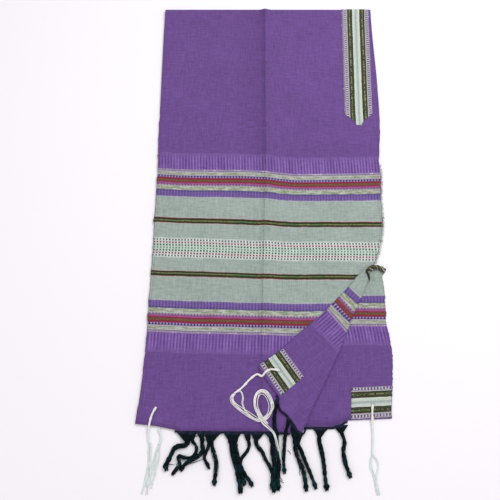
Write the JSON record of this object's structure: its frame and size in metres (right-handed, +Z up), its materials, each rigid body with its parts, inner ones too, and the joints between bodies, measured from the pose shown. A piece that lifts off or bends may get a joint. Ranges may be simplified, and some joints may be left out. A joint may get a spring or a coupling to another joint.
{
  "type": "tallit prayer shawl",
  "caption": "Striped woven prayer shawl laid flat, folded in half with one corner turned back, with neck band, corner patches, twisted fringe and knotted tzitzit.",
  "frame": {"origin": "middle of the bounding box, at the surface that the shawl lies on", "axes": "+X across the cloth towards its neck band edge, +Y along it towards the fold, +Z up from the surface"},
  "size_m": [0.5206, 1.1226, 0.0139],
  "materials": {
    "shawl_cloth": "matte woven",
    "band_cloth": "matte woven",
    "fringe_yarn": "twisted yarn",
    "tzitzit_string": "twisted string"
  },
  "bodies": {
    "root": {"upper_panel": "shawl_cloth", "under_panel": "shawl_cloth", "corner_flap": "shawl_cloth", "neck_band": "band_cloth", "corner_patch_right": "band_cloth", "corner_patch_flap": "band_cloth", "fringe_upper": "fringe_yarn", "fringe_under": "fringe_yarn", "fringe_flap": "fringe_yarn", "tzitzit_right": "tzitzit_string", "tzitzit_left_upper": "tzitzit_string", "tzitzit_left_under": "tzitzit_string", "tzitzit_flap": "tzitzit_string"}
  },
  "joints": []
}
